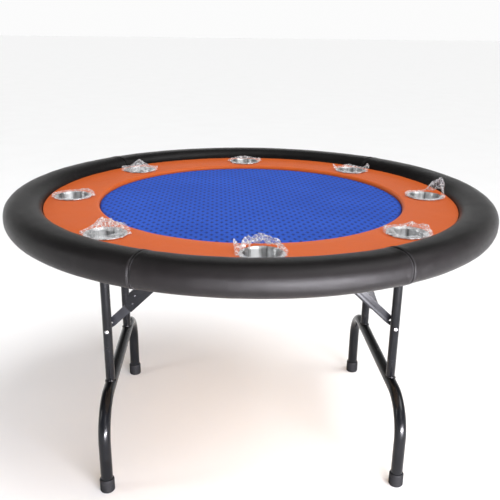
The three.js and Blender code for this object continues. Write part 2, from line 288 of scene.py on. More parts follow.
def leatherette(name, colour, light, roughness, grain, sheen):
    # pebbled coated cloth: cells with soft valleys, fine pores, slow patches of wear
    material, tree, shader = newMaterial(name, colour, roughness, **sheen)
    where = place(tree)
    wander = noiseAt(tree, where, grain["cells"] * 0.35, 2.0)
    warped = addNode(tree, "ShaderNodeVectorMath", {0: where, 1: wander}, operation="ADD").outputs[0]
    bent = addNode(
        tree, "ShaderNodeMix",
        {0: 0.0015, 4: where, 5: warped}, data_type="VECTOR",
    ).outputs[1]
    cells = addNode(
        tree, "ShaderNodeTexVoronoi", {"Vector": bent, "Scale": grain["cells"], "Randomness": 0.95},
        feature="DISTANCE_TO_EDGE",
    ).outputs["Distance"]
    valley = ramp(tree, cells, [(0.0, 0.0), (0.16, 0.75), (0.5, 1.0)])
    pores = noiseAt(tree, where, grain["cells"] * 5, 2.0)
    slow = noiseAt(tree, where, 9.0, 4.0)
    patchy = noiseAt(tree, where, 38.0, 5.0)
    addBump(tree, shader, pores, 0.10, 0.0002)
    addBump(tree, shader, valley, grain["strength"], grain["depth"])
    addBump(tree, shader, slow, 0.05, 0.004)
    shade = calc(tree, "MULTIPLY_ADD", patchy, 0.5, calc(tree, "MULTIPLY", slow, 0.5))
    tinted = ramp(tree, shade, [(0.30, colour), (0.72, light)])
    # painted shade: the grain's valleys are darkened towards 0.62 of the colour, over the random tone
    toneAndValleyShade = addNode(
        tree, "ShaderNodeMix", {6: tinted, 7: (*[c * 0.62 for c in colour], 1)}, data_type="RGBA",
    )
    tree.links.new(calc(tree, "MULTIPLY", calc(tree, "SUBTRACT", 1.0, valley), 0.55), toneAndValleyShade.inputs[0])
    feed(tree, shader, "Base Color", toneAndValleyShade.outputs[2])
    feed(tree, shader, "Roughness", remap(tree, shade, 0.3, 0.7, roughness - 0.03, roughness + 0.03))
    return material


def speedCloth(spec):
    # close plain weave with a small woven figure: short dark dashes in slanting rows
    material, tree, shader = newMaterial("speedCloth", spec["colour"], spec["roughness"])
    shader.inputs["Sheen Weight"].default_value = 0.06
    shader.inputs["Sheen Roughness"].default_value = 0.45
    shader.inputs["Sheen Tint"].default_value = (0.62, 0.74, 1.0, 1)
    shader.inputs["Specular IOR Level"].default_value = 0.08
    where = place(tree)
    split = addNode(tree, "ShaderNodeSeparateXYZ", {0: where})
    x, y = split.outputs[0], split.outputs[1]
    rowOf = calc(tree, "DIVIDE", y, spec["along"])
    odd = calc(tree, "MULTIPLY", calc(tree, "MODULO", calc(tree, "FLOOR", rowOf), 2.0), 0.5)
    across = calc(tree, "FRACT", calc(tree, "ADD", calc(tree, "DIVIDE", x, spec["across"]), odd))
    up = calc(tree, "FRACT", rowOf)
    dx = calc(tree, "ABSOLUTE", calc(tree, "SUBTRACT", across, 0.5))
    dy = calc(tree, "ABSOLUTE", calc(tree, "SUBTRACT", up, 0.5))
    reach = calc(tree, "ADD", calc(tree, "DIVIDE", dx, spec["dash"]), calc(tree, "DIVIDE", dy, spec["thick"]))
    marks = ramp(tree, reach, [(0.70, 1.0), (1.0, 0.0)])
    threadsX = calc(tree, "SINE", calc(tree, "MULTIPLY", x, 2 * math.pi / spec["thread"]))
    threadsY = calc(tree, "SINE", calc(tree, "MULTIPLY", y, 2 * math.pi / spec["thread"]))
    weave = calc(tree, "MULTIPLY", threadsX, threadsY)
    slub = noiseAt(tree, where, 420.0, 3.0)
    cloud = noiseAt(tree, where, 5.0, 3.0)
    shade = calc(tree, "MULTIPLY_ADD", slub, 0.35, calc(tree, "MULTIPLY", cloud, 0.65))
    base = ramp(tree, shade, [(0.32, spec["colour"]), (0.68, spec["light"])])
    dyedAndEdgeShaded = addNode(tree, "ShaderNodeMix", {6: base, 7: (*spec["figure"], 1)}, data_type="RGBA")
    # painted shade: the edge, tucked down beside the racetrack, is darkened towards the figure colour for the
    # racetrack's shadow
    radius = calc(tree, "SQRT", calc(tree, "MULTIPLY_ADD", x, x, calc(tree, "MULTIPLY", y, y)))
    paintedEdgeShade = remap(tree, radius, clothHigh.x - spec["edgeShadeReach"], clothHigh.x - 1 * mm, 0.0, 0.85)
    woven = calc(tree, "MULTIPLY", marks, spec["contrast"])
    tree.links.new(calc(tree, "MAXIMUM", woven, paintedEdgeShade), dyedAndEdgeShaded.inputs[0])
    feed(tree, shader, "Base Color", dyedAndEdgeShaded.outputs[2])
    addBump(tree, shader, weave, 0.35, 0.00015)
    addBump(tree, shader, marks, 0.3, 0.0002)
    addBump(tree, shader, slub, 0.2, 0.0002)
    feed(tree, shader, "Roughness", remap(tree, marks, 0.0, 1.0, spec["roughness"], spec["roughness"] - 0.2))
    return material


def metal(name, colour, roughness, grainScale, grainStretch=(1, 1, 1), strength=0.05):
    material, tree, shader = newMaterial(name, colour, roughness, 1.0)
    where = place(tree)
    stretched = addNode(tree, "ShaderNodeMapping", {"Vector": where, "Scale": grainStretch}).outputs[0]
    fine = noiseAt(tree, stretched, grainScale, 4.0)
    stain = noiseAt(tree, where, 30.0, 4.0)
    tint = ramp(tree, stain, [(0.3, [c * 0.86 for c in colour]), (0.7, colour)])
    feed(tree, shader, "Base Color", tint)
    feed(tree, shader, "Roughness", remap(tree, fine, 0.25, 0.75, roughness - 0.06, roughness + 0.1))
    addBump(tree, shader, fine, strength, 0.0002)
    return material


def spunSteel(name, colour, roughness):
    # stainless, spun: fine rings round each cup's own axis, which draw the lights out down the wall
    material, tree, shader = newMaterial(name, colour, roughness, 1.0)
    shader.inputs["Anisotropic"].default_value = 1.0
    shader.inputs["Anisotropic Rotation"].default_value = 0.25
    tangent = addNode(tree, "ShaderNodeTangent", direction_type="RADIAL", axis="Z")
    feed(tree, shader, "Tangent", tangent.outputs["Tangent"])
    where = place(tree)
    split = addNode(tree, "ShaderNodeSeparateXYZ", {0: where})
    x, y = split.outputs[0], split.outputs[1]
    radius = calc(tree, "SQRT", calc(tree, "MULTIPLY_ADD", x, x, calc(tree, "MULTIPLY", y, y)))
    rings = calc(tree, "SINE", calc(tree, "MULTIPLY", radius, 6500.0))
    drawn = calc(tree, "SINE", calc(tree, "MULTIPLY", split.outputs[2], 1500.0))
    # painted reflection: dark and bright bands down the wall stand in for reflected light; they follow the
    # direction round the axis only
    c, s = calc(tree, "DIVIDE", x, radius), calc(tree, "DIVIDE", y, radius)
    around = addNode(tree, "ShaderNodeCombineXYZ", {0: c, 1: s})
    paintedReflectionBands = noiseAt(tree, around.outputs[0], 2.6, 3.0, 0.7)
    smear = noiseAt(tree, where, 45.0, 4.0)
    shade = calc(tree, "MULTIPLY_ADD", smear, 0.25, calc(tree, "MULTIPLY", paintedReflectionBands, 0.75))
    # painted reflection: the bands, with a little random smear, darken the steel to 0.45 of its colour
    feed(tree, shader, "Base Color", ramp(tree, shade, [(0.41, [c * 0.45 for c in colour]), (0.52, colour)]))
    feed(tree, shader, "Roughness", remap(tree, smear, 0.3, 0.7, roughness - 0.04, roughness + 0.06))
    addBump(tree, shader, calc(tree, "ADD", rings, drawn), 0.03, 0.0001)
    return material


def powderCoat(name, colour, roughness):
    # sprayed and baked paint: slight orange peel, a little dust, worn lighter at corners
    material, tree, shader = newMaterial(name, colour, roughness)
    shader.inputs["Coat Weight"].default_value = 0.08
    shader.inputs["Coat Roughness"].default_value = 0.08
    shader.inputs["Specular IOR Level"].default_value = 0.20
    where = place(tree)
    peel = noiseAt(tree, where, 330.0, 2.0)
    dust = noiseAt(tree, where, 14.0, 6.0, 0.7)
    specks = noiseAt(tree, where, 900.0, 1.0)
    film = ramp(tree, dust, [(0.42, colour), (0.80, [c * 2.2 for c in colour])])
    geometry = addNode(tree, "ShaderNodeNewGeometry")
    edges = ramp(tree, geometry.outputs["Pointiness"], [(0.53, 0.0), (0.62, 1.0)])
    worn = addNode(tree, "ShaderNodeMix", {6: film, 7: (0.05, 0.05, 0.053, 1)}, data_type="RGBA")
    tree.links.new(calc(tree, "MULTIPLY", edges, calc(tree, "MULTIPLY", specks, 0.6)), worn.inputs[0])
    feed(tree, shader, "Base Color", worn.outputs[2])
    feed(tree, shader, "Roughness", remap(tree, dust, 0.35, 0.75, roughness - 0.04, roughness + 0.12))
    addBump(tree, shader, peel, 0.05, 0.0006)
    return material


def mouldedRubber(name, colour):
    material, tree, shader = newMaterial(name, colour, 0.7)
    where = place(tree)
    grain = noiseAt(tree, where, 1400.0, 3.0)
    scuff = noiseAt(tree, where, 60.0, 5.0, 0.7)
    feed(tree, shader, "Base Color", ramp(tree, scuff, [(0.4, colour), (0.75, [c * 2.5 for c in colour])]))
    feed(tree, shader, "Roughness", remap(tree, scuff, 0.3, 0.7, 0.6, 0.85))
    shader.inputs["Specular IOR Level"].default_value = 0.2
    addBump(tree, shader, grain, 0.25, 0.0003)
    return material


def plywood(name, colour, light):
    # birch face: long grain along X, faint rings; the cut edge shows its layers along Z
    material, tree, shader = newMaterial(name, colour, 0.62)
    where = place(tree)
    long = addNode(tree, "ShaderNodeMapping", {"Vector": where, "Scale": (1.2, 14.0, 1.0)}).outputs[0]
    figure = noiseAt(tree, long, 3.0, 6.0, 0.6, 0.6)
    fibre = noiseAt(
        tree,
        addNode(tree, "ShaderNodeMapping", {"Vector": where, "Scale": (6.0, 260.0, 6.0)}).outputs[0],
        6.0, 4.0,
    )
    split = addNode(tree, "ShaderNodeSeparateXYZ", {0: where})
    layers = calc(tree, "SINE", calc(tree, "MULTIPLY", split.outputs[2], 2 * math.pi / 0.003))
    facing = addNode(tree, "ShaderNodeNewGeometry").outputs["Normal"]
    normal = addNode(tree, "ShaderNodeSeparateXYZ", {0: facing})
    isEdge = calc(tree, "LESS_THAN", calc(tree, "ABSOLUTE", normal.outputs[2]), 0.5)
    shade = calc(tree, "MULTIPLY_ADD", fibre, 0.3, calc(tree, "MULTIPLY", figure, 0.7))
    face = ramp(tree, shade, [(0.32, colour), (0.5, light), (0.68, [c * 0.85 for c in colour])])
    edge = ramp(tree, layers, [(0.35, [c * 0.55 for c in colour]), (0.65, light)])
    both = addNode(tree, "ShaderNodeMix", {0: isEdge, 6: face, 7: edge}, data_type="RGBA")
    feed(tree, shader, "Base Color", both.outputs[2])
    addBump(tree, shader, fibre, 0.25, 0.0003)
    return material


def foamMaterial(name, colour):
    material, tree, shader = newMaterial(name, colour, 0.95)
    cells = addNode(tree, "ShaderNodeTexVoronoi", {"Vector": place(tree), "Scale": 900.0}).outputs["Distance"]
    # painted shade: each pore's middle is darker, down to 0.7 of the colour
    feed(tree, shader, "Base Color", ramp(tree, cells, [(0.1, [c * 0.7 for c in colour]), (0.6, colour)]))
    addBump(tree, shader, cells, 0.5, 0.0006)
    return material


def clearFilm(name):
    # thin clear wrapping: nearly invisible where it is smooth, creased in its bump; painted glints: opaque
    # white lines along its creases stand in for the light they catch
    material, tree, shader = newMaterial(name, (0.93, 0.94, 0.96), 0.12)
    shader.inputs["Specular IOR Level"].default_value = 1.0
    where = place(tree)
    folds = noiseAt(tree, where, 70.0, 3.0, 0.6, 0.4)
    crease = calc(tree, "ABSOLUTE", calc(tree, "SUBTRACT", folds, 0.5))
    small = calc(tree, "ABSOLUTE", calc(tree, "SUBTRACT", noiseAt(tree, where, 190.0, 2.0), 0.5))
    paintedGlintLines = calc(tree, "MINIMUM", crease, calc(tree, "ADD", small, 0.02))
    # painted glint: opacity rises to 0.88 along the crease lines
    feed(tree, shader, "Alpha", ramp(tree, paintedGlintLines, [(0.005, 0.88), (0.042, 0.17)]))
    feed(tree, shader, "Roughness", remap(tree, folds, 0.3, 0.7, 0.06, 0.2))
    addBump(tree, shader, paintedGlintLines, 0.8, 0.004)
    return material


def threadMaterial(name, colour):
    material, tree, shader = newMaterial(name, colour, 0.6)
    twist = noiseAt(tree, place(tree), 2200.0, 2.0)
    feed(tree, shader, "Base Color", ramp(tree, twist, [(0.3, colour), (0.7, [c * 1.6 for c in colour])]))
    addBump(tree, shader, twist, 0.4, 0.0002)
    return material


clothSpec = {
    "colour": (0.025, 0.086, 0.48), "light": (0.034, 0.112, 0.60), "figure": (0.010, 0.028, 0.18),
    "across": 24 * mm, "along": 17 * mm,  # spacing of the figure in a row, and of the rows
    "dash": 0.24, "thick": 0.58,  # half-width and half-length of one mark, as shares of that spacing
    # the last entry is how far in from the edge the cloth is painted darker as shade
    "thread": 1.2 * mm, "contrast": 0.9, "roughness": 0.82, "edgeShadeReach": 8 * mm,
}
railGrain = {"cells": 620.0, "strength": 0.35, "depth": 0.0005}
trackGrain = {"cells": 760.0, "strength": 0.25, "depth": 0.0004}
looks = {
    "rail": leatherette(
        "railLeather", (0.0062, 0.0056, 0.0056), (0.011, 0.0098, 0.0098), 0.30, railGrain,
        {"Specular_IOR_Level": 0.11},
    ),
    "track": leatherette(
        "trackVinyl", (0.72, 0.128, 0.022), (0.80, 0.158, 0.031), 0.42, trackGrain,
        {"Specular_IOR_Level": 0.16},
    ),
    "cloth": speedCloth(clothSpec),
    "cup": spunSteel("cupSteel", (0.88, 0.89, 0.90), 0.42),
    "paint": powderCoat("framePaint", (0.0022, 0.0024, 0.0030), 0.20),
    "brace": powderCoat("bracePaint", (0.0085, 0.0088, 0.0105), 0.30),
    "zinc": metal("zincPlate", (0.62, 0.63, 0.65), 0.30, 700.0),
    "rubber": mouldedRubber("footRubber", (0.0045, 0.0045, 0.0050)),
    "plywood": plywood("birchPlywood", (0.50, 0.33, 0.18), (0.66, 0.47, 0.28)),
    "foam": foamMaterial("upholsteryFoam", (0.80, 0.76, 0.64)),
    "film": clearFilm("clearFilm"),
    "thread": threadMaterial("blackThread", (0.022, 0.021, 0.023)),
}
print("materials ready")


# Rail: black leatherette pulled over foam, sewn across in four places

railSpec = {
    "power": 2.4,  # squareness of the round section
    "seams": (-114, -63, 45, 135),  # degrees round from +X
    "seamWidth": 1.3 * mm, "seamDepth": 2.4 * mm,
    "pucker": 0.9 * mm, "puckerReach": 26 * mm,
    "wave": 0.5 * mm,
    "flap": 58 * mm,  # turned under the board and stapled
}
railLow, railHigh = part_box("rail_cover")
trackLow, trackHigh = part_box("racetrack_cover")
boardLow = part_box("base_board")[0]
railOuter = railHigh.x
railInner = trackHigh.x + 0.4 * mm
railMiddle = (railOuter + railInner) / 2
railHalf = Vector(((railOuter - railInner) / 2, (railHigh.z - railLow.z) / 2))
railCentre = (railHigh.z + railLow.z) / 2
railFlapLevel = boardLow.z - 1.3 * mm


def railSection(degrees, inset=0.0):
    angle = math.radians(degrees)
    power = 2 / railSpec["power"]
    out = math.copysign(abs(math.cos(angle)) ** power, math.cos(angle))
    up = math.copysign(abs(math.sin(angle)) ** power, math.sin(angle))
    return Vector((railMiddle + (railHalf.x - inset) * out, railCentre + (railHalf.y - inset) * up))


def railAngles():
    # even steps, with close ones at each seam
    angles = set(np.round(np.linspace(-math.pi, math.pi, 540, endpoint=False), 6))
    for seam in railSpec["seams"]:
        middle = math.radians(seam)
        near = [k * 0.45 * mm for k in range(-14, 15)] + [k * 2.0 * mm for k in range(-22, 23)]
        for offset in near:
            turn = middle + offset / railOuter
            angles.add(round((turn + math.pi) % (2 * math.pi) - math.pi, 6))
    return sorted(angles)


def seamShape(angle, around, seam, seed):
    # how far the cover sinks at a seam, and how it puckers beside it
    distance = ((angle - math.radians(seam) + math.pi) % (2 * math.pi) - math.pi) * railMiddle
    if abs(distance) > 90 * mm:
        return 0.0
    groove = -railSpec["seamDepth"] * math.exp(-((distance / railSpec["seamWidth"]) ** 2))
    swell = 0.7 * mm * math.exp(-(((abs(distance) - 7 * mm) / (6 * mm)) ** 2))
    ripple = math.sin(around * 21 + 1.7 * noise.noise(Vector((around * 3, seed, distance * 30))))
    fade = math.exp(-abs(distance) / railSpec["puckerReach"]) * (1 - math.exp(-((distance / (3 * mm)) ** 2)))
    side = 1 if distance > 0 else -0.6
    return groove + swell + railSpec["pucker"] * ripple * fade * side


def buildRail():
    angles = railAngles()
    sections = [railSection(d) for d in np.linspace(203, -90, 52)]
    edge = railMiddle - railSpec["flap"]
    flap = []
    for r in np.linspace(railSection(-90).x, edge, 12)[1:]:
        t = (railMiddle - r) / railSpec["flap"]
        flap.append(Vector((r, railLow.z + (railFlapLevel - railLow.z) * min(1.0, t * 4) ** 1.5)))
    fold = [Vector((edge - 0.6 * mm, railFlapLevel + 0.5 * mm)), Vector((edge, railFlapLevel + 1.1 * mm))]
    path = sections + flap + fold
    centre = Vector((railMiddle, railCentre))
    points = []
    for angle in angles:
        c, s = math.cos(angle), math.sin(angle)
        for j, spot in enumerate(path):
            outward = (spot - centre).normalized()
            shift = 0.0
            if j < len(sections):
                hold = min(1.0, j / 5)
                around = j / len(sections)
                where = Vector((c * 6.5, s * 6.5, around * 3))
                shift = railSpec["wave"] * noise.fractal(where, 0.8, 2.0, 4)
                shift += sum(
                    seamShape(angle, around, seam, k * 7.3) for k, seam in enumerate(railSpec["seams"])
                )
                shift = hold * shift - 0.5 * mm
            else:
                where = Vector((c * 60, s * 60, j * 0.7))
                shift = 0.35 * mm * noise.noise(where)
            radius, height = spot + outward * shift
            points.append((radius * c, radius * s, height))
    count = len(path)
    faces = gridFaces(len(angles), count)
    last = (len(angles) - 1) * count
    faces += [(last + j, j, j + 1, last + j + 1) for j in range(count - 1)]
    mesh = faceOutward(meshFrom("railCover", points, faces))
    rail = addPiece("railCover", mesh, looks["rail"], "table_top")
    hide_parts("rail_cover")


def buildRailStitches():
    # a row of short stitches down each side of every seam
    for k, seam in enumerate(railSpec["seams"]):
        stitches = []
        for side in (-1, 1):
            angle = math.radians(seam) + side * 3.4 * mm / railMiddle
            c, s = math.cos(angle), math.sin(angle)
            steps = np.linspace(196, -62, 47)
            for a, b in zip(steps, steps[1:]):
                middle = (a + b) / 2
                start, end = middle + (a - b) * 0.33, middle - (a - b) * 0.33
                path = []
                for t in np.linspace(0, 1, 5):
                    spot = railSection(start + (end - start) * t)
                    outward = (spot - Vector((railMiddle, railCentre))).normalized()
                    lift = (0.45 * math.sin(math.pi * t) - 0.35) * mm
                    radius, height = spot + outward * lift
                    path.append(Vector((radius * c, radius * s, height)))
                stitches.append(tubeMesh("stitch", path, 0.42 * mm, 6))
        mesh = joinedMesh(f"railStitches{k + 1}", stitches)
        addPiece(f"railStitches{k + 1}", mesh, looks["thread"], "table_top")


buildRail()
buildRailStitches()
print("rail ready")


# Cup places and sizes, from the frame

cupNodes = [f"cup_holder_{i + 1}" for i in range(8)]


def cupCentre(index):
    low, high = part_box(cupNodes[index])
    return Vector(((low.x + high.x) / 2, (low.y + high.y) / 2, 0))


cupCentres = [cupCentre(i) for i in range(8)]
cupLow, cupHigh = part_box(cupNodes[0])
flangeRadius = (cupHigh.x - cupLow.x) / 2
cupSpec = {
    "bowl": 42.8 * mm, "wall": 0.9 * mm, "corner": 6 * mm, "hole": 44.6 * mm,
}


def cutCupHoles(piece, low, high):
    # round holes through a ring piece, one for each cup
    cutters = []
    for centre in cupCentres:
        mesh = latheMesh("drill", [(0, low), (cupSpec["hole"], low), (cupSpec["hole"], high), (0, high)], 72)
        cutters.append(moved(mesh, centre))
    drill = bpy.data.objects.new("drill", joinedMesh("drill", cutters))
    scene.collection.objects.link(drill)
    cut = piece.modifiers.new("cut", "BOOLEAN")
    cut.operation = "DIFFERENCE"
    cut.solver = "EXACT"
    cut.object = drill
    shape = piece.evaluated_get(bpy.context.evaluated_depsgraph_get())
    mesh = bpy.data.meshes.new_from_object(shape)
    piece.modifiers.clear()
    old = piece.data
    piece.data = mesh
    bpy.data.meshes.remove(old)
    bpy.data.objects.remove(drill)


# Racetrack: orange vinyl over a thin foam ring, drawn down at its inner edge

trackSpec = {
    "edge": 9 * mm,  # radius of the inner edge
    "crown": 1.6 * mm,  # how far the foam lifts the vinyl away from cups and edges
    "wave": 0.35 * mm, "pressed": 0.25 * mm,
    "thickness": 1.2 * mm,
}
trackInner = clothHigh.x + 1.2 * mm
trackOuter = trackHigh.x


def trackHeight(x, y, radius):
    # the vinyl's height, pressed flat under each cup flange and at both edges
    across = (radius - trackInner) / (trackOuter - trackInner)
    lift = trackSpec["crown"] * min(1.0, math.sin(math.pi * min(max(across, 0), 1)) * 1.5)
    near = 1.0
    for centre in cupCentres:
        away = math.hypot(x - centre.x, y - centre.y) - flangeRadius
        step = min(max(away / (26 * mm), 0), 1)
        near = min(near, step * step * (3 - 2 * step))
    where = Vector((x * 13, y * 13, 2.7))
    crease = noise.fractal(where, 0.9, 2.0, 4) * trackSpec["wave"]
    return (lift + crease) * near - trackSpec["pressed"] * (1 - near)


def buildRacetrack():
    low, top, edge = trackLow.z, trackHigh.z, trackSpec["edge"]
    bend = arcPoints((trackInner + edge, top - edge), edge, 180, 90, 10)
    flat = [(r, top) for r in np.linspace(trackInner + edge, trackOuter, 60)[1:]]
    wall = [(trackInner, h) for h in np.linspace(low, top - edge, 6)[:-1]]
    path = wall + bend + flat
    count = 720
    points = []
    for k in range(count):
        angle = 2 * math.pi * k / count
        c, s = math.cos(angle), math.sin(angle)
        for radius, height in path:
            onTop = min(max((height - (top - edge)) / edge, 0), 1)
            lift = trackHeight(radius * c, radius * s, radius) * onTop
            gather = 0.12 * mm * math.sin(angle * 150) * onTop * math.exp(-(radius - trackInner) / (14 * mm))
            points.append((radius * c, radius * s, height + lift + gather))
    rowsOfFaces = gridFaces(count, len(path))
    last = (count - 1) * len(path)
    rowsOfFaces += [(last + j, j, j + 1, last + j + 1) for j in range(len(path) - 1)]
    track = addPiece(
        "racetrackCover", faceOutward(meshFrom("racetrackCover", points, rowsOfFaces)),
        looks["track"], "table_top",
    )
    shell = track.modifiers.new("shell", "SOLIDIFY")
    shell.thickness = trackSpec["thickness"]
    shell.offset = -1
    cutCupHoles(track, low - 5 * mm, top + 20 * mm)
    track.data.polygons.foreach_set("use_smooth", [True] * len(track.data.polygons))
    track.data.set_sharp_from_angle(angle=math.radians(40))
    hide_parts("racetrack_cover")


buildRacetrack()
print("racetrack ready")


# Play area: cloth stretched over a padded board, sunk below the racetrack

def buildCloth():
    outer = clothHigh.x
    radii = [0.0] + list(np.linspace(0.006, outer - 3 * mm, 90))
    points, faces = [(0, 0, clothHigh.z)], []
    sides = 360
    rim = [(outer - 1.2 * mm, -0.15 * mm), (outer - 0.3 * mm, -0.6 * mm)]
    rim += [(outer, -1.6 * mm), (outer, -6 * mm)]
    rings = [(r, 0.0) for r in radii[1:]] + rim
    for radius, drop in rings:
        for k in range(sides):
            angle = 2 * math.pi * k / sides
            x, y = radius * math.cos(angle), radius * math.sin(angle)
            wave = 0.12 * mm * noise.noise(Vector((x * 9, y * 9, 0)))
            points.append((x, y, clothHigh.z + drop + wave))
    faces += [(0, 1 + k, 1 + (k + 1) % sides) for k in range(sides)]
    faces += [tuple(1 + i for i in face) for face in gridFaces(len(rings), sides, closeColumns=True)]
    cloth = addPiece(
        "playCloth", faceOutward(meshFrom("playCloth", points, faces)),
        looks["cloth"], "table_top",
    )
    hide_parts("play_cloth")


buildCloth()
print("cloth ready")


# Cup holders: pressed stainless bowls with a flat flange and a rolled rim

def buildCups():
    flangeTop = cupHigh.z
    floor = cupLow.z
    bowl, wall, corner = (cupSpec[key] for key in ("bowl", "wall", "corner"))
    under = trackHigh.z + 0.3 * mm
    outside = [(0, floor), (bowl - corner, floor), (bowl, floor + corner), (bowl, under)]
    outside += [(flangeRadius, under)]
    inside = [(flangeRadius, flangeTop), (bowl - wall + 2.2 * mm, flangeTop)]
    inside += [(bowl - wall - 0.6 * mm, flangeTop - 3 * mm)]
    inside += [(bowl - wall, floor + corner + 2 * mm), (bowl - wall - corner, floor + wall)]
    inside += [(24 * mm, floor + wall), (21 * mm, floor + wall + 0.9 * mm), (0, floor + wall + 0.9 * mm)]
    profile = filleted(outside + inside, 1.6 * mm, 5)
    for i, node in enumerate(cupNodes):
        cup = addPiece(
            f"cupHolder{i + 1}", latheMesh(f"cupHolder{i + 1}", profile, 96),
            looks["cup"], f"cup_{i + 1}", crease=50,
        )
        cup.matrix_world = Matrix.Translation(cupCentres[i])
        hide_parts(node)


buildCups()
print("cup holders ready")


# Leg frames: the wishbone, its uprights, their weld beads and feet

legLow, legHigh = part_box("leg_tube_left")
uprightLow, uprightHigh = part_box("upright_left_front")
footLow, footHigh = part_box("foot_left_front")
legSpec = {
    "tube": 16 * mm, "upright": 12.5 * mm, "bend": 100 * mm, "weld": 2.6 * mm, "crown": 12.5 * mm,
}
legX = -(legLow.x + legHigh.x) / 2
legY = -(footLow.y + footHigh.y) / 2
uprightY = -(uprightLow.y + uprightHigh.y) / 2
crossZ = legHigh.z - legSpec["tube"]
turnOf = {"left": Matrix.Identity(4), "right": Matrix.Rotation(math.pi, 4, "Z")}
halfTurn = {"left": {"front": "front", "back": "back"}, "right": {"front": "back", "back": "front"}}


def wishbonePath():
    bend, bottom = legSpec["bend"], legLow.z
    start = legY - bend
    points = [(-legX, -legY, z) for z in np.linspace(bottom, crossZ - bend, 6)[:-1]]
    for y, z in arcPoints((-start, crossZ - bend), bend, 180, 90, 18):
        points.append((-legX, y, z))
    points += [(-legX, y, crossZ) for y in np.linspace(-start, start, 9)[1:-1]]
    for y, z in arcPoints((start, crossZ - bend), bend, 90, 0, 18):
        points.append((-legX, y, z))
    points += [(-legX, legY, z) for z in np.linspace(crossZ - bend, bottom, 6)[1:]]
    return points


def weldBead(side):
    # a hand-run bead round the foot of an upright, where it sits on the cross tube
    points, radii = [], []
    for k in range(72):
        angle = 2 * math.pi * k / 72
        x = (legSpec["upright"] + 0.6 * mm) * math.cos(angle)
        y = (legSpec["upright"] + 0.6 * mm) * math.sin(angle)
        z = math.sqrt(max(legSpec["tube"] ** 2 - x * x, 0))
        points.append((-legX + x, side * uprightY + y, crossZ + z + 0.4 * mm))
        radii.append(legSpec["weld"] * (0.85 + 0.18 * math.sin(k * 1.9)))
    return tubeMesh("weld", points, radii, 10, closedPath=True)


def uprightMesh():
    radius = legSpec["upright"]
    bottom = crossZ + legSpec["tube"] - 3 * mm
    profile = [(0, bottom), (radius, bottom), (radius, uprightHigh.z - 4 * mm)]
    profile += [(radius - 1.2 * mm, uprightHigh.z - 1.2 * mm), (radius - 4 * mm, uprightHigh.z)]
    profile += [(0, uprightHigh.z)]
    return latheMesh("upright", filleted(profile, 1.5 * mm, 3), 40)


def footMesh():
    # moulded cap: a ribbed body, a lip round the tube and a tread underneath
    outer = (footHigh.x - footLow.x) / 2
    top = footHigh.z
    tube = legSpec["tube"] + 0.25 * mm
    profile = [(0, 1.2 * mm), (6 * mm, 1.2 * mm), (7 * mm, 0), (11 * mm, 0)]
    profile += [(12 * mm, 1.2 * mm), (14 * mm, 1.2 * mm)]
    profile += [(14.6 * mm, 0), (outer - 1.6 * mm, 0), (outer, 2.4 * mm)]
    for z in np.arange(9 * mm, top - 9 * mm, 5 * mm):
        profile += [(outer, z), (outer - 0.7 * mm, z + 0.8 * mm)]
        profile += [(outer - 0.7 * mm, z + 1.6 * mm), (outer, z + 2.4 * mm)]
    profile += [(outer, top - 5 * mm), (outer - 1.4 * mm, top - 1 * mm)]
    profile += [(tube + 0.6 * mm, top), (tube, top - 1.2 * mm)]
    profile += [(tube, 12 * mm), (0, 12 * mm)]
    return latheMesh("foot", filleted(profile, 0.6 * mm, 2), 48)


def buildLegFrames():
    for end in ends:
        turn, body = turnOf[end], f"leg_frame_{end}"
        tube = tubeMesh(f"legTube_{end}", wishbonePath(), legSpec["tube"], 36)
        tube.transform(turn)
        leg = addPiece(f"legTube_{end}", tube, looks["paint"], body, crease=50)
        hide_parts(f"leg_tube_{end}")
        for row, side in (("front", -1), ("back", 1)):
            name = f"{end}_{halfTurn[end][row]}"
            upright = moved(uprightMesh(), (-legX, side * uprightY, 0))
            upright.transform(turn)
            piece = addPiece(f"upright_{name}_tube", upright, looks["paint"], body, crease=50)
            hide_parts(f"upright_{name}")
            bead = weldBead(side)
            bead.transform(turn)
            addPiece(f"weld_{name}", bead, looks["paint"], body)
            foot = moved(footMesh(), (-legX, side * legY, 0))
            foot.transform(turn)
            cap = addPiece(f"rubberFoot_{name}", foot, looks["rubber"], body, crease=55)
            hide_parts(f"foot_{name}")


buildLegFrames()
print("leg frames ready")



# Braces, brackets, bolts and rods

braceSpec = {
    "angle": 43.3276, "lower": 185.83, "upper": 201.83, "boltHeight": 404, "pivotHeight": 670, "anchor": 282,
    "width": 22, "thickness": 3, "inside": 161.5,
    "band": {"low": -9, "high": 15, "start": 18, "neck": 8, "tab": 6.5},
    "depths": {"outerPlate": 3.5, "lowerLink": 6.3, "innerPlate": 9.6, "upperLink": 15, "ear": 18.3},
    "plate": {"start": 76, "past": 28, "up": 32, "down": 11, "shoulder": 14, "slope": 38, "thickness": 2.5},
    "rivets": ((97, 5), (118, 17)),
}  # millimetres and degrees
frameX = legX / mm
boardUnder = boardLow.z / mm - 0.3


def upperOutline():
    half = braceSpec["width"] / 2
    return arcPoints((braceSpec["upper"], 0), half, -90, 90, 16) + arcPoints((0, 0), half, 90, 270, 16)


def lowerOutline():
    # a band above the link's own line, on a narrow neck that leads to its bolt
    band = braceSpec["band"]
    low, high, start = band["low"], band["high"], band["start"]
    outline = arcPoints((braceSpec["lower"], (low + high) / 2), (high - low) / 2, -90, 90, 18)
    corners = [(start + 12, high), (start, high), (start, low + band["neck"]), (6, 5.5)]
    outline += [tuple(p) for p in filleted(corners, 1.6, 4)]
    outline += arcPoints((0, 0), band["tab"], 85, 270, 14)
    return outline + [(start, low)]


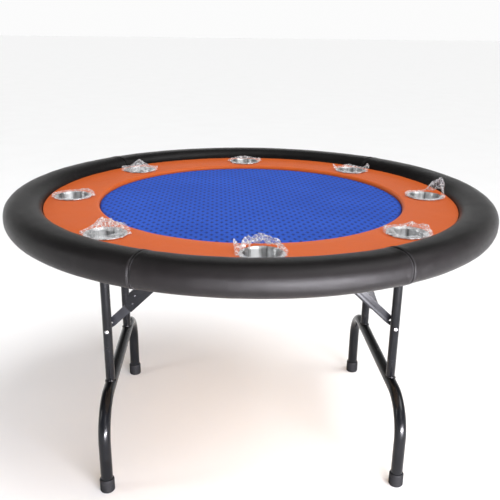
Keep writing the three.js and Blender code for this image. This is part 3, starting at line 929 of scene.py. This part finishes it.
def lockOutline():
    plate = braceSpec["plate"]
    end, low, high = braceSpec["lower"] + plate["past"], -plate["down"], plate["up"]
    corners = [(plate["start"], low), (end - 17, low), (end, low + 15), (end, high - 13), (end - 14, high)]
    corners += [(plate["start"] + plate["slope"], high), (plate["start"], plate["shoulder"])]
    return [tuple(p) for p in filleted(corners, 3.5, 4, closed=True)]


def millimetres(matrix):
    return matrix @ Matrix.Scale(mm, 4)


def placeAt(x, side, depth, z, degrees=0.0):
    # a piece drawn in its own XY plane, stood up in XZ at a depth measured inward from the upright
    move = Matrix.Translation((x * mm, side * (braceSpec["inside"] - depth) * mm, z * mm))
    turn = Matrix.Rotation(math.radians(degrees), 4, "Y")
    return millimetres(move @ turn @ Matrix.Rotation(math.pi / 2, 4, "X"))


def pinAt(x, side, z, degrees=0.0, along=0.0, up=0.0):
    # a turned piece whose own height is a depth measured inward from the upright
    move = Matrix.Translation((x * mm, side * braceSpec["inside"] * mm, z * mm))
    offset = Matrix.Translation((along * mm, 0, up * mm))
    lean = Matrix.Rotation(math.radians(degrees), 4, "Y")
    return millimetres(move @ lean @ offset @ Matrix.Rotation(math.radians(90 * side), 4, "X"))


def domed(radius, height, base, up=1):
    # the outline of a pressed rivet or bolt head standing on base
    steps = [(1.0, 0.0), (1.0, 0.25), (0.93, 0.52), (0.76, 0.78), (0.5, 0.93), (0.22, 0.99), (0.0, 1.0)]
    return [(radius * r, base + up * height * h) for r, h in steps]


def pinMesh(name, shank, fromHead, toHead, collars=(), sides=28):
    # a shank with a domed head at each end; heads are (radius, height, base)
    low, high = fromHead, toHead
    profile = list(reversed(domed(low[0], low[1], low[2], -1))) + [(shank, low[2])]
    for radius, start, end in collars:
        profile += [(shank, start), (radius, start), (radius, end), (shank, end)]
    profile += [(shank, high[2])] + domed(*high)
    return latheMesh(name, profile, sides)


def hexNut(name, across, height, base):
    radius = across / math.sqrt(3)
    profile = [(0, base), (radius * 0.93, base)]
    profile += [(radius, base + height * 0.12), (radius, base + height * 0.86)]
    return latheMesh(name, profile + [(radius * 0.9, base + height), (0, base + height)], 6)


def shaped(mesh, matrix, turn):
    mesh.transform(turn @ matrix)
    return faceOutward(mesh)


def strip(name, section, halfWidth, thickness, matrix):
    # sheet bent along a line of (y, z) points, wide along X
    section = [Vector(p) for p in section]
    points, half = [], thickness / 2
    for i, here in enumerate(section):
        before, after = section[max(i - 1, 0)], section[min(i + 1, len(section) - 1)]
        ahead = (after - before).normalized()
        normal = Vector((-ahead.y, ahead.x))
        for x in (-halfWidth, halfWidth):
            for offset in (-half, half):
                y, z = here + normal * offset
                points.append((x, y, z))
    faces = []
    for i in range(len(section) - 1):
        a, b = 4 * i, 4 * i + 4
        faces += [(a, b, b + 1, a + 1), (a + 2, a + 3, b + 3, b + 2)]
        faces += [(a, a + 2, b + 2, b), (a + 1, b + 1, b + 3, a + 3)]
    last = 4 * (len(section) - 1)
    faces += [(0, 1, 3, 2), (last, last + 2, last + 3, last + 1)]
    mesh = faceOutward(meshFrom(name, points, faces))
    mesh.transform(matrix)
    return mesh


def screwHead(radius, height):
    # a pan head that hangs below what it holds
    mesh = latheMesh("screw", [(radius * 1.5, 0), (radius * 1.5, -0.5)] + domed(radius, height, -0.5, -1), 24)
    bm = bmesh.new()
    bm.from_mesh(mesh)
    bmesh.ops.contextual_create(bm, geom=[e for e in bm.edges if e.is_boundary])
    bm.to_mesh(mesh)
    bm.free()
    return mesh


def buildBrace(end, row, side, plateOutside):
    spec, depths, turn = braceSpec, braceSpec["depths"], turnOf[end]
    name = f"{end}_{row}"
    lowerBody, upperBody, frameBody = f"lower_brace_{name}", f"upper_brace_{name}", f"leg_frame_{end}"
    x, z, thick = -frameX, spec["boltHeight"], spec["thickness"]
    anchorX = spec["anchor"] - frameX
    edge = 0.5

    def steel(title, outline, holes, width, depth, at, degrees, look, body, node=None):
        mesh = sheetMetal(title, outline, holes, width, edge, Matrix.Identity(4))
        mesh = shaped(mesh, placeAt(at[0], side, depth + width / 2, at[1], degrees), turn)
        piece = addPiece(title, mesh, looks[look], body, crease=30)
        if node:
            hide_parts(node)

    steel(
        f"lowerLink_{name}", lowerOutline(), [(0, 0, 4.2), (spec["lower"], 0, 4)], thick,
        depths["lowerLink"], (x, z), -spec["angle"], "brace", lowerBody, f"lower_link_{name}",
    )
    steel(
        f"upperLink_{name}", upperOutline(), [(0, 0, 4.2), (spec["upper"], 0, 4)], thick,
        depths["upperLink"], (anchorX, spec["pivotHeight"]), 180 - spec["angle"], "brace", upperBody,
        f"upper_link_{name}",
    )
    plate = spec["plate"]
    plateAt = depths["outerPlate"] if plateOutside else depths["innerPlate"]
    steel(
        f"lockPlate_{name}", lockOutline(), [(spec["lower"], 0, 4)], plate["thickness"],
        plateAt, (x, z), -spec["angle"], "paint", lowerBody, f"lock_plate_{name}",
    )
    base, up = (plateAt, -1) if plateOutside else (plateAt + plate["thickness"], 1)
    for k, (along, above) in enumerate(spec["rivets"]):
        rivet = latheMesh("rivet", [(0, base)] + domed(3.6, 2, base, up), 24)
        rivet = shaped(rivet, pinAt(x, side, z, -spec["angle"], along, above), turn)
        addPiece(f"plateRivet{k + 1}_{name}", rivet, looks["brace"], lowerBody)
    start = plateAt if plateOutside else depths["lowerLink"]
    finish = depths["lowerLink"] + thick if plateOutside else plateAt + plate["thickness"]
    knee = pinMesh("knee", 3.7, (6, 2, start - 0.3), (6, 2, finish + 0.3))
    knee = shaped(knee, pinAt(x, side, z, -spec["angle"], spec["lower"]), turn)
    piece = addPiece(f"kneeRivet_{name}", knee, looks["zinc"], lowerBody, crease=60)
    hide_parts(f"knee_rivet_{name}")
    cap = pinMesh("cap", 3.7, (6, 1.6, depths["upperLink"]), (6, 2, depths["upperLink"] + thick))
    cap = shaped(cap, pinAt(anchorX, side, spec["pivotHeight"], 180 - spec["angle"], spec["upper"]), turn)
    addPiece(f"kneeCap_{name}", cap, looks["zinc"], upperBody, crease=60)

    linkEnd = depths["lowerLink"] + thick
    collars = [(6.5, 0.3, depths["lowerLink"] - 0.3)]
    bolt = pinMesh("bolt", 4, (5.5, 3, -25.3), (4, 1, linkEnd + 3), collars)
    nut = hexNut("nut", 11, 2, linkEnd + 0.3)
    bolt = shaped(joinedMesh("bolt", [bolt, nut]), pinAt(x, side, z), turn)
    piece = addPiece(f"braceBolt_{name}", bolt, looks["zinc"], frameBody, crease=45)
    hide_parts(f"brace_bolt_{name}")

    ear, top = spec["inside"] - depths["ear"] - thick / 2, boardUnder - thick / 2
    section = [(side * ear, 658), (side * ear, top), (side * (ear - 26.5), top)]
    section = filleted(section, 4.5, 6)
    bracket = strip(f"braceBracket_{name}", section, 18, thick, millimetres(Matrix.Identity(4)))
    bracket = shaped(bracket, Matrix.Translation((anchorX * mm, 0, 0)), turn)
    title = f"braceBracket_{name}_sheet"
    piece = addPiece(title, bracket, looks["paint"], "table_top", crease=30)
    soften(piece, 0.5 * mm)
    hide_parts(f"brace_bracket_{name}")
    for k, dx in enumerate((-10, 10)):
        screw = screwHead(4, 2.4)
        spot = Matrix.Translation(((anchorX + dx) * mm, side * (ear - 17) * mm, (boardUnder - thick) * mm))
        screw = shaped(screw, millimetres(spot), turn)
        addPiece(f"braceScrew{k + 1}_{name}", screw, looks["zinc"], "table_top", crease=45)


def soften(piece, width):
    bm = bmesh.new()
    bm.from_mesh(piece.data)
    sharp = [e for e in bm.edges if e.is_manifold and e.calc_face_angle() > math.radians(40)]
    bmesh.ops.bevel(bm, geom=sharp, offset=width, segments=2, profile=0.6, affect="EDGES", clamp_overlap=True)
    bm.to_mesh(piece.data)
    bm.free()
    piece.data.polygons.foreach_set("use_smooth", [True] * len(piece.data.polygons))
    piece.data.set_sharp_from_angle(angle=math.radians(35))


def buildHinge(end, row, side):
    turn, name = turnOf[end], f"{end}_{row}"
    middle, thick = uprightY / mm, 3
    outline = [(-20, boardUnder - 2), (-20, 674)] + arcPoints((0, 671), 16, 185, 355, 18)
    outline += [(20, 674), (20, boardUnder - 2)]
    outline = [tuple(p) for p in filleted(outline, 3, 3, closed=True)]
    parts = []
    for offset in (-15, 15):
        ear = sheetMetal("ear", outline, [(0, 670, 6.3)], thick, 0.5, Matrix.Identity(4))
        across = Matrix.Translation((-frameX * mm, (side * middle + offset) * mm, 0))
        ear.transform(millimetres(across @ Matrix.Rotation(math.pi / 2, 4, "X")))
        parts.append(ear)
        beadY = side * middle + offset + math.copysign(2.0, offset)
        bead = [(-frameX - 18 + k * 1.5, beadY, boardUnder - 3.4) for k in range(25)]
        radii = [1.5 + 0.25 * math.sin(k * 2.1) for k in range(25)]
        bead = tubeMesh("bead", bead, radii, 8)
        bead.transform(Matrix.Scale(mm, 4))
        parts.append(bead)
    corners = filleted([(-38, -16.5), (38, -16.5), (38, 16.5), (-38, 16.5)], 5, 5, closed=True)
    holes = [(dx, dy, 2.6) for dx in (-30, 30) for dy in (-9, 9)]
    pad = sheetMetal("pad", [tuple(p) for p in corners], holes, thick, 0.5, Matrix.Identity(4))
    padCentre = Vector((-frameX, side * middle, boardUnder - thick / 2)) * mm
    pad.transform(millimetres(Matrix.Translation(padCentre)))
    mesh = joinedMesh(f"hingeBracket_{name}", [pad] + parts)
    mesh.transform(turn)
    title = f"hingeBracket_{name}_sheet"
    piece = addPiece(title, mesh, looks["paint"], "table_top", crease=30)
    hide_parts(f"hinge_bracket_{name}")
    screws = []
    for dx, dy, _ in holes:
        spot = Matrix.Translation(((dx - frameX) * mm, (side * middle + dy) * mm, (boardUnder - thick) * mm))
        screws.append(shaped(screwHead(4.2, 2.6), millimetres(spot), turn))
    screws = joinedMesh("screws", screws)
    addPiece(f"hingeScrews_{name}", screws, looks["zinc"], "table_top", crease=45)


def buildRods(end):
    turn = turnOf[end]
    reach = uprightY / mm + 16.5 + 0.3
    linkFace = braceSpec["inside"] - braceSpec["depths"]["upperLink"] + 0.3
    rods = (
        ("hingeRod", "hinge_rod", 6, 10, 4, reach, -frameX),
        ("braceRod", "brace_rod", 4, 7, 2.7, linkFace, braceSpec["anchor"] - frameX),
    )
    for title, node, radius, headRadius, head, half, x in rods:
        mesh = pinMesh(title, radius, (headRadius, head, -half), (headRadius, head, half), sides=32)
        spot = Matrix.Translation((x * mm, 0, braceSpec["pivotHeight"] * mm)) @ alongY
        mesh = shaped(mesh, millimetres(spot), turn)
        piece = addPiece(f"{title}_{end}", mesh, looks["zinc"], "table_top", crease=50)
        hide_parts(f"{node}_{end}")


for end in ends:
    buildRods(end)
    for row, side in (("front", -1), ("back", 1)):
        buildBrace(end, halfTurn[end][row], side, side < 0)
        buildHinge(end, halfTurn[end][row], side)
print("braces ready")


# Underside: staples along the flap, and the boards and foam inside

def buildStaples():
    staples = []
    for k in range(130):
        angle = 2 * math.pi * (k + 0.25 * noise.noise(Vector((k * 1.7, 0, 0)))) / 130
        radius = 0.577 + 0.0025 * noise.noise(Vector((k * 0.9, 5, 0)))
        lean = 0.25 * noise.noise(Vector((k * 1.3, 9, 0)))
        middle = Vector((radius * math.cos(angle), radius * math.sin(angle), 0))
        along = Vector((-math.sin(angle + lean), math.cos(angle + lean), 0)) * 5.5 * mm
        level = Vector((0, 0, railFlapLevel))
        path = [middle - along + level + Vector((0, 0, 1.6 * mm)), middle - along + level]
        path += [middle + along + level, middle + along + level + Vector((0, 0, 1.6 * mm))]
        staples.append(tubeMesh("staple", path, 0.45 * mm, 6))
    addPiece("flapStaples", joinedMesh("flapStaples", staples), looks["zinc"], "table_top")


buildStaples()
inside = {
    "plywood": ("base_board", "play_board", "racetrack_board", "rail_core"),
    "foam": ("play_foam", "racetrack_foam", "rail_foam"),
}
for look, nodes in inside.items():
    for node in nodes:
        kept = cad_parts[node]
        kept.data.materials.clear()
        kept.data.materials.append(looks[look])
print("underside ready")


# Clear film: each cup is still wrapped, crumpled round its flange with loose tufts standing up

filmSpec = {
    "side": 0.140,  # of the square of film each piece was torn from
    "outer": 58 * mm, "lift": 0.7 * mm, "crumple": 2.4 * mm, "shake": 2.2 * mm,
    "folds": 105.0,  # about how many creases to a metre
}
# for each cup, in mm: the radius the film leaves open, the height of the cone it is gathered to, and its
# tufts as (direction in degrees, height, half-width in degrees, radius it stands at, depth, lean outward)
filmTufts = (
    {"open": 42, "cone": 0, "tufts": (
        (88, 27, 44, 49, 9, 0), (40, 13, 30, 50, 8, 2), (130, 15, 26, 50, 9, 3), (170, 27, 15, 54, 9, 5),
    )},
    {"open": 27, "cone": 0, "tufts": (
        (20, 17, 22, 48, 12, 3), (62, 14, 26, 47, 12, 0), (165, 13, 30, 50, 12, 2), (-70, 4, 50, 52, 8, 0),
    )},
    {"open": 42, "cone": 0, "tufts": (
        (20, 46, 24, 46, 13, 16), (50, 30, 20, 47, 10, 8), (185, 7, 30, 52, 8, 0),
    )},
    {"open": 36, "cone": 0, "tufts": (
        (5, 19, 22, 54, 12, 4), (172, 17, 24, 54, 11, 3), (90, 8, 40, 50, 9, 0),
    )},
    {"open": 40, "cone": 0, "tufts": (
        (90, 7, 60, 50, 9, 0), (10, 6, 24, 53, 9, 2), (190, 5, 20, 53, 8, 0),
    )},
    {"open": 2, "cone": 34, "tufts": (
        (175, 9, 34, 50, 13, 2), (5, 9, 30, 52, 12, 3), (-80, 5, 50, 50, 10, 0),
    )},
    {"open": 40, "cone": 0, "tufts": (
        (12, 10, 42, 50, 10, 3), (60, 8, 34, 50, 9, 0), (200, 3, 30, 52, 8, 0),
    )},
    {"open": 22, "cone": 0, "tufts": (
        (100, 24, 44, 46, 11, 2), (45, 12, 30, 50, 10, 2), (195, 6, 30, 52, 9, 0),
    )},
)


def ridge(where):
    # sharp folds: noise turned over at zero, at three sizes
    total, weight = 0.0, 1.0
    for k in range(3):
        total += weight * (1 - 2.2 * abs(noise.noise(where * (1.9 ** k) + Vector((k * 9.1, 0, 0)))))
        weight *= 0.55
    return total / 1.85


def wander(where):
    return noise.noise(where + Vector((3, 1, 4)))


def filmPoint(angle, radius, spec, seed):
    outward = Vector((math.cos(angle), math.sin(angle), 0))
    along = Vector((-outward.y, outward.x, 0))
    here = Vector((outward.x, outward.y, 0)) * radius * filmSpec["folds"] + Vector((0, 0, seed))
    fold = ridge(here)
    top, ground = cupHigh.z + filmSpec["lift"], trackHigh.z + 1.2 * mm
    edge = min(max((radius - flangeRadius) / (5 * mm), 0), 1)
    sag = min(max((cupSpec["bowl"] - radius) / (22 * mm), 0), 1)
    height = top * (1 - edge) + ground * edge
    if spec["cone"]:
        height += spec["cone"] * mm * max(1 - radius / (52 * mm), 0) ** 1.25
    else:
        height -= 4 * mm * sag * (0.6 + noise.noise(here * 0.4))
    height += filmSpec["crumple"] * (0.6 + 0.8 * edge) * max(fold + 0.35, 0.0)
    shift = filmSpec["shake"] * (along * noise.noise(here) + outward * wander(here))
    for direction, tall, width, stands, deep, lean in spec["tufts"]:
        away = (math.degrees(angle) - direction + 180) % 360 - 180
        across, through = abs(away) / width, abs(radius / mm - stands) / deep
        if across > 1.7 or through > 1:
            continue
        rough = 0.78 + 0.34 * ridge(here * 0.55 + Vector((4, 7, 1)))
        peak = math.exp(-(across ** 2) * 1.5) * (1 - through) ** 0.7 * rough
        height += tall * mm * peak
        shift += outward * (lean * mm * peak ** 1.5 + 5 * mm * peak * wander(here * 0.8))
        shift += along * 6 * mm * peak * noise.noise(here * 0.7)
    flat = outward * radius + shift
    return Vector((flat.x, flat.y, height))


def buildFilms():
    columns, rings = 156, 23
    for i, spec in enumerate(filmTufts):
        seed = 3.7 + i * 11.3
        points = []
        for k in range(rings):
            for j in range(columns):
                angle = 2 * math.pi * (j + 0.5 * (k % 2)) / columns
                turn = Vector((math.cos(angle), math.sin(angle), 0))
                outer = filmSpec["outer"] * (1 + 0.10 * noise.noise(turn * 3 + Vector((0, 0, seed))))
                rim = spec["open"] * mm * (1 + 0.08 * noise.noise(turn * 4 + Vector((0, 0, seed + 5))))
                points.append(filmPoint(angle, rim + (outer - rim) * k / (rings - 1), spec, seed))
        faces = []
        for a, b, c, d in gridFaces(rings, columns, closeColumns=True):
            faces += [(a, b, c), (a, c, d)]
        mesh = faceOutward(meshFrom(f"film{i + 1}", points, faces))
        mesh = moved(mesh, cupCentres[i])
        film = addPiece(f"clearFilm{i + 1}", mesh, looks["film"], f"cup_{i + 1}")
        mesh.polygons.foreach_set("use_smooth", [False] * len(mesh.polygons))


buildFilms()
print("film ready")


# Stage, lights and camera

cameraSpec = {"place": (-0.091, -1.8085, 1.190), "yaw": 2.85, "pitch": 18.85, "roll": 0.726, "lens": 47.61}


def buildCamera():
    data = bpy.data.cameras.new("camera")
    data.lens = cameraSpec["lens"]
    data.sensor_width = 36
    camera = bpy.data.objects.new("camera", data)
    scene.collection.objects.link(camera)
    yaw, pitch, roll = (math.radians(cameraSpec[key]) for key in ("yaw", "pitch", "roll"))
    ahead = Vector((math.sin(yaw) * math.cos(pitch), math.cos(yaw) * math.cos(pitch), -math.sin(pitch)))
    right = Vector((math.cos(yaw), -math.sin(yaw), 0))
    up = right.cross(ahead)
    tiltedRight = right * math.cos(roll) + up * math.sin(roll)
    tiltedUp = tiltedRight.cross(ahead)
    turn = Matrix((tiltedRight, tiltedUp, -ahead)).transposed().to_4x4()
    camera.matrix_world = Matrix.Translation(Vector(cameraSpec["place"])) @ turn
    scene.camera = camera


def areaLight(name, place, target, size, power, colour):
    data = bpy.data.lights.new(name, "AREA")
    data.shape = "RECTANGLE"
    data.size, data.size_y = size
    data.energy = power
    data.color = colour
    light = bpy.data.objects.new(name, data)
    scene.collection.objects.link(light)
    light.location = place
    light.visible_camera = False
    light.rotation_euler = (Vector(target) - Vector(place)).to_track_quat("-Z", "Y").to_euler()


stageSpec = {
    # (height on the unit sphere, strength): pale backdrop, dim walls, bright ceiling
    "sky": ((0.13, 0.97), (0.28, 0.16), (0.84, 0.16), (0.92, 0.95)),
    "sun": {"from": (0.75, -0.25, 1.3), "strength": 2.2, "angle": 40},
    "lights": (
        ("frontLight", (1.15, -3.0, 0.24), (0.1, -0.6, 0.70), (2.2, 0.24), 540, (0.95, 0.93, 1.0)),
        ("cupLight", (0.75, -2.3, 2.1), (0, 0, 0.72), (1.2, 1.2), 11, (1, 1, 1)),
        ("backLight", (0.3, 3.4, 1.5), (0, 0.5, 0.72), (2.2, 0.4), 2, (1, 1, 1)),
        ("leftLight", (-3.0, -0.8, 1.5), (0, 0, 0.5), (0.5, 1.2), 14, (1, 1, 1)),
    ),
}


def buildStage():
    reach = 60.0
    corners = [(-reach, -reach, 0), (reach, -reach, 0), (reach, reach, 0), (-reach, reach, 0)]
    mesh = meshFrom("floor", corners, [(0, 1, 2, 3)])
    material, tree, shader = newMaterial("paleFloor", (0.93, 0.93, 0.93), 0.95)
    shader.inputs["Specular IOR Level"].default_value = 0.1
    speck = noiseAt(tree, place(tree), 3.0, 4.0)
    feed(tree, shader, "Base Color", ramp(tree, speck, [(0.3, 0.95), (0.7, 0.97)]))
    floor = bpy.data.objects.new("floor", mesh)
    floor.location.z = -0.5 * mm
    mesh.materials.append(material)
    scene.collection.objects.link(floor)
    world = bpy.data.worlds.new("studio")
    world.use_nodes = True
    tree = world.node_tree
    direction = addNode(tree, "ShaderNodeTexCoord").outputs["Generated"]
    split = addNode(tree, "ShaderNodeSeparateXYZ", {0: direction})
    back = tree.nodes["Background"]
    spec = stageSpec
    level = ramp(tree, split.outputs[2], [(height, strength / 2) for height, strength in spec["sky"]])
    tree.links.new(calc(tree, "MULTIPLY", level, 2.0), back.inputs["Strength"])
    back.inputs["Color"].default_value = (1, 1, 1, 1)
    scene.world = world
    data = bpy.data.lights.new("sun", "SUN")
    data.energy = spec["sun"]["strength"]
    data.angle = math.radians(spec["sun"]["angle"])
    sun = bpy.data.objects.new("sun", data)
    scene.collection.objects.link(sun)
    sun.rotation_euler = Vector(spec["sun"]["from"]).to_track_quat("Z", "Y").to_euler()
    for light in spec["lights"]:
        areaLight(*light)
    scene.view_settings.view_transform = "Standard"


buildStage()
buildCamera()
print("stage ready")
